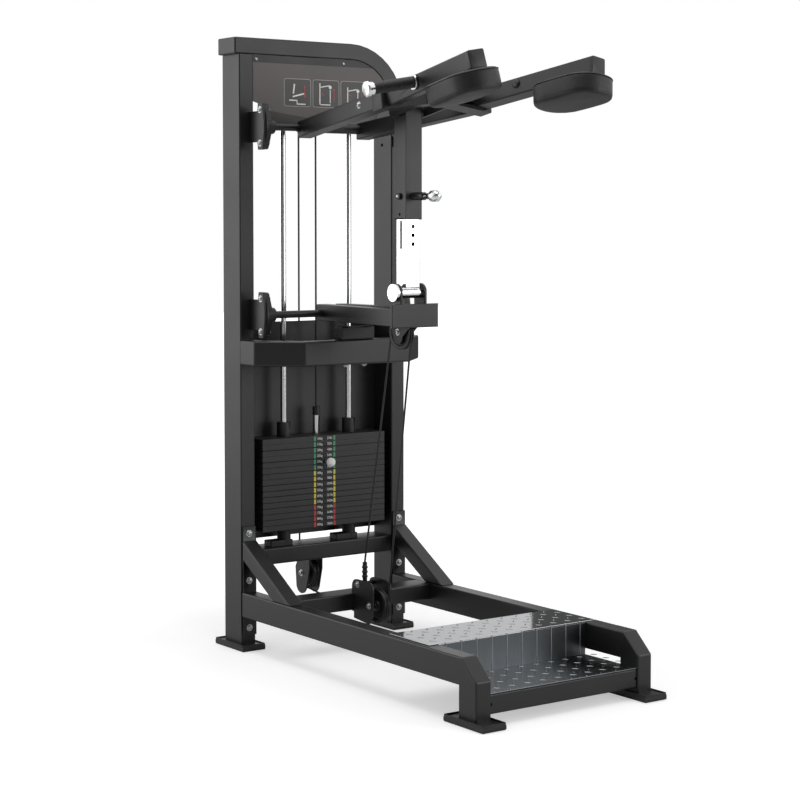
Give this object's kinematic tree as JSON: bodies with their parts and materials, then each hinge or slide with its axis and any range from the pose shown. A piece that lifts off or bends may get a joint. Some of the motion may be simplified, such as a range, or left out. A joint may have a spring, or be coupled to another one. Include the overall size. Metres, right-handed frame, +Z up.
{
  "type": "standing calf raise machine",
  "caption": "Weight-stack machine: a tower on a long base with a ribbed step, and a hinged lever with two shoulder pads that lifts the stack by cable.",
  "frame": {"origin": "on the floor, under the middle of the machine's bounding box", "axes": "+Z up, +X to the machine's left-to-right as the picture's viewer faces it, +Y from the user's step towards the tower"},
  "size_m": [0.7124, 1.356, 1.85],
  "materials": {
    "frame_paint": "satin",
    "plate_iron": "satin",
    "shroud_paint": "matte",
    "chrome": "polished",
    "tread_metal": "ribbed",
    "rubber": "matte",
    "pad_vinyl": "satin",
    "placard_card": "matte",
    "pulley_plastic": "matte"
  },
  "bodies": {
    "tower": {"left_upright": "frame_paint", "right_upright": "frame_paint", "top_beam": "frame_paint", "stack_cross_tube": "frame_paint", "base_cross_tube": "frame_paint", "left_base_rail": "frame_paint", "right_base_rail": "frame_paint", "left_brace": "frame_paint", "right_brace": "frame_paint", "front_cross_bar": "frame_paint", "foot_tread": "tread_metal", "foot_deck": "tread_metal", "guard_bar": "frame_paint", "lever_stop": "rubber", "lower_left_bearing": "frame_paint", "lower_right_bearing": "frame_paint", "upper_left_bearing": "frame_paint", "upper_right_bearing": "frame_paint", "rear_shroud": "shroud_paint", "placard": "placard_card", "left_guide_rod": "chrome", "right_guide_rod": "chrome", "left_stack_cushion": "rubber", "right_stack_cushion": "rubber", "cable": "rubber", "weight_plate_06": "plate_iron", "weight_plate_07": "plate_iron", "weight_plate_08": "plate_iron", "weight_plate_09": "plate_iron", "weight_plate_10": "plate_iron", "weight_plate_11": "plate_iron", "weight_plate_12": "plate_iron", "weight_plate_13": "plate_iron", "weight_plate_14": "plate_iron", "weight_plate_15": "plate_iron", "weight_plate_16": "plate_iron"},
    "lower_lever": {"lower_lever": "frame_paint", "lower_post_pin": "chrome"},
    "lever_pulley": {"lever_pulley": "pulley_plastic"},
    "inner_post": {"inner_post": "chrome"},
    "outer_post": {"outer_post": "frame_paint"},
    "pop_pin": {"pop_pin": "rubber"},
    "upper_shaft": {"upper_shaft": "chrome"},
    "yoke": {"yoke": "frame_paint", "left_pad": "pad_vinyl", "right_pad": "pad_vinyl", "left_grip": "rubber", "right_grip": "rubber"},
    "stack": {"head_plate": "plate_iron", "weight_plate_02": "plate_iron", "weight_plate_03": "plate_iron", "weight_plate_04": "plate_iron", "weight_plate_05": "plate_iron", "selector_stem": "chrome"},
    "selector_pin": {"selector_pin": "rubber"},
    "base_pulley": {"base_pulley": "pulley_plastic"},
    "rear_pulley": {"rear_pulley": "pulley_plastic"},
    "top_pulley": {"top_pulley": "pulley_plastic"}
  },
  "joints": [
    {"name": "lower_lever_hinge", "type": "hinge", "parent": "tower", "child": "lower_lever", "pos_m": [0, 0.466, 1.0195], "axis": [-1, 0, 0], "range_deg": [0, 20], "deforming": ["cable"]},
    {"name": "lever_pulley_spin", "type": "hinge", "parent": "lower_lever", "child": "lever_pulley", "pos_m": [0, 0.118, 0.9765], "axis": [1, 0, 0], "range_deg": [-180, 180]},
    {"name": "post_hinge", "type": "hinge", "parent": "lower_lever", "child": "inner_post", "pos_m": [0, 0.084, 1.093], "axis": [-1, 0, 0], "range_deg": [-25, 5]},
    {"name": "post_adjust", "type": "slide", "parent": "inner_post", "child": "outer_post", "axis": [0, 0, 1], "range_m": [-0.1, 0.05]},
    {"name": "pop_pin_pull", "type": "slide", "parent": "outer_post", "child": "pop_pin", "axis": [0, -1, 0], "range_m": [0, 0.01], "stiffness_N_per_m": 600, "springref_m": -0.006},
    {"name": "upper_shaft_hinge", "type": "hinge", "parent": "tower", "child": "upper_shaft", "pos_m": [0, 0.466, 1.582], "axis": [-1, 0, 0], "range_deg": [-1, 21]},
    {"name": "yoke_adjust", "type": "hinge", "parent": "upper_shaft", "child": "yoke", "pos_m": [0, 0.466, 1.582], "axis": [-1, 0, 0], "range_deg": [-16, 8]},
    {"name": "stack_slide", "type": "slide", "parent": "tower", "child": "stack", "axis": [0, 0, 1], "range_m": [0, 0.25]},
    {"name": "selector_pin_slide", "type": "slide", "parent": "stack", "child": "selector_pin", "axis": [0, -1, 0], "range_m": [0, 0.09]},
    {"name": "base_pulley_spin", "type": "hinge", "parent": "tower", "child": "base_pulley", "pos_m": [0, 0.24, 0.147], "axis": [1, 0, 0], "range_deg": [-300, 300]},
    {"name": "rear_pulley_spin", "type": "hinge", "parent": "tower", "child": "rear_pulley", "pos_m": [0, 0.626, 0.1945], "axis": [1, 0, 0], "range_deg": [-300, 300]},
    {"name": "top_pulley_spin", "type": "hinge", "parent": "tower", "child": "top_pulley", "pos_m": [0, 0.626, 1.72], "axis": [1, 0, 0], "range_deg": [-300, 300]}
  ],
  "couplings": [
    {"joint": "post_hinge", "follows": "lower_lever_hinge", "ratio": -1.0763},
    {"joint": "upper_shaft_hinge", "follows": "lower_lever_hinge", "ratio": 0.983},
    {"joint": "stack_slide", "follows": "lower_lever_hinge", "m_per_rad": 0.696},
    {"joint": "lever_pulley_spin", "follows": "lower_lever_hinge", "ratio": -6.1},
    {"joint": "base_pulley_spin", "follows": "lower_lever_hinge", "ratio": -14.2},
    {"joint": "rear_pulley_spin", "follows": "lower_lever_hinge", "ratio": -14.2},
    {"joint": "top_pulley_spin", "follows": "lower_lever_hinge", "ratio": -14.2},
    {"joint": "yoke_adjust", "follows": "post_adjust", "rad_per_m": 2.618}
  ]
}
